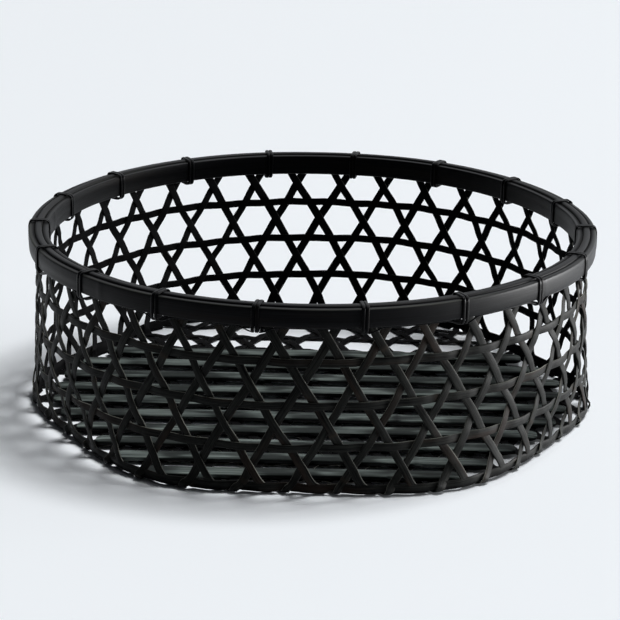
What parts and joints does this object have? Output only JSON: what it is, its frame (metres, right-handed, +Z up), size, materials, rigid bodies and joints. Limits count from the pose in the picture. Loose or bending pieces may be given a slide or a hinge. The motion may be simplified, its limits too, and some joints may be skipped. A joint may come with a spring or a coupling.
{
  "type": "bamboo storage basket",
  "caption": "Round open-top storage basket of black-dyed bamboo: open hexagonal weave wall and floor, flat floor slats and a broad rim of clamped hoops tied with lashings.",
  "frame": {"origin": "on the table under the middle of the round basket", "axes": "+Z up out of the open top, +X along the floor slats, -Y towards the viewer of the picture"},
  "size_m": [0.3332, 0.33, 0.1106],
  "materials": {
    "woven_strip": "black-dyed split bamboo strip, thin semi-gloss lacquer",
    "floor_slat": "black-dyed flat bamboo slat, thin satin lacquer",
    "rim_bamboo": "black-dyed bamboo hoop, semi-gloss lacquer, pale worn edge",
    "lashing": "black-dyed flat cane strand, satin"
  },
  "bodies": {
    "root": {"side_1_strip_1": "woven_strip", "side_1_strip_2": "woven_strip", "side_1_strip_3": "woven_strip", "side_1_strip_4": "woven_strip", "side_1_strip_5": "woven_strip", "side_1_strip_6": "woven_strip", "side_2_strip_1": "woven_strip", "side_2_strip_2": "woven_strip", "side_2_strip_3": "woven_strip", "side_2_strip_4": "woven_strip", "side_2_strip_5": "woven_strip", "side_2_strip_6": "woven_strip", "side_3_strip_1": "woven_strip", "side_3_strip_2": "woven_strip", "side_3_strip_3": "woven_strip", "side_3_strip_4": "woven_strip", "side_3_strip_5": "woven_strip", "side_3_strip_6": "woven_strip", "side_4_strip_1": "woven_strip", "side_4_strip_2": "woven_strip", "side_4_strip_3": "woven_strip", "side_4_strip_4": "woven_strip", "side_4_strip_5": "woven_strip", "side_4_strip_6": "woven_strip", "side_5_strip_1": "woven_strip", "side_5_strip_2": "woven_strip", "side_5_strip_3": "woven_strip", "side_5_strip_4": "woven_strip", "side_5_strip_5": "woven_strip", "side_5_strip_6": "woven_strip", "side_6_strip_1": "woven_strip", "side_6_strip_2": "woven_strip", "side_6_strip_3": "woven_strip", "side_6_strip_4": "woven_strip", "side_6_strip_5": "woven_strip", "side_6_strip_6": "woven_strip", "wall_hoop_1": "woven_strip", "wall_hoop_2": "woven_strip", "wall_hoop_3": "woven_strip", "wall_hoop_4": "woven_strip", "floor_slat_1": "floor_slat", "floor_slat_2": "floor_slat", "floor_slat_3": "floor_slat", "floor_slat_4": "floor_slat", "floor_slat_5": "floor_slat", "floor_slat_6": "floor_slat", "floor_slat_7": "floor_slat", "floor_slat_8": "floor_slat", "floor_slat_9": "floor_slat", "floor_slat_10": "floor_slat", "rim_outer_hoop": "rim_bamboo", "rim_inner_hoop": "rim_bamboo", "rim_cap": "rim_bamboo", "rim_lashing": "lashing"}
  },
  "joints": []
}
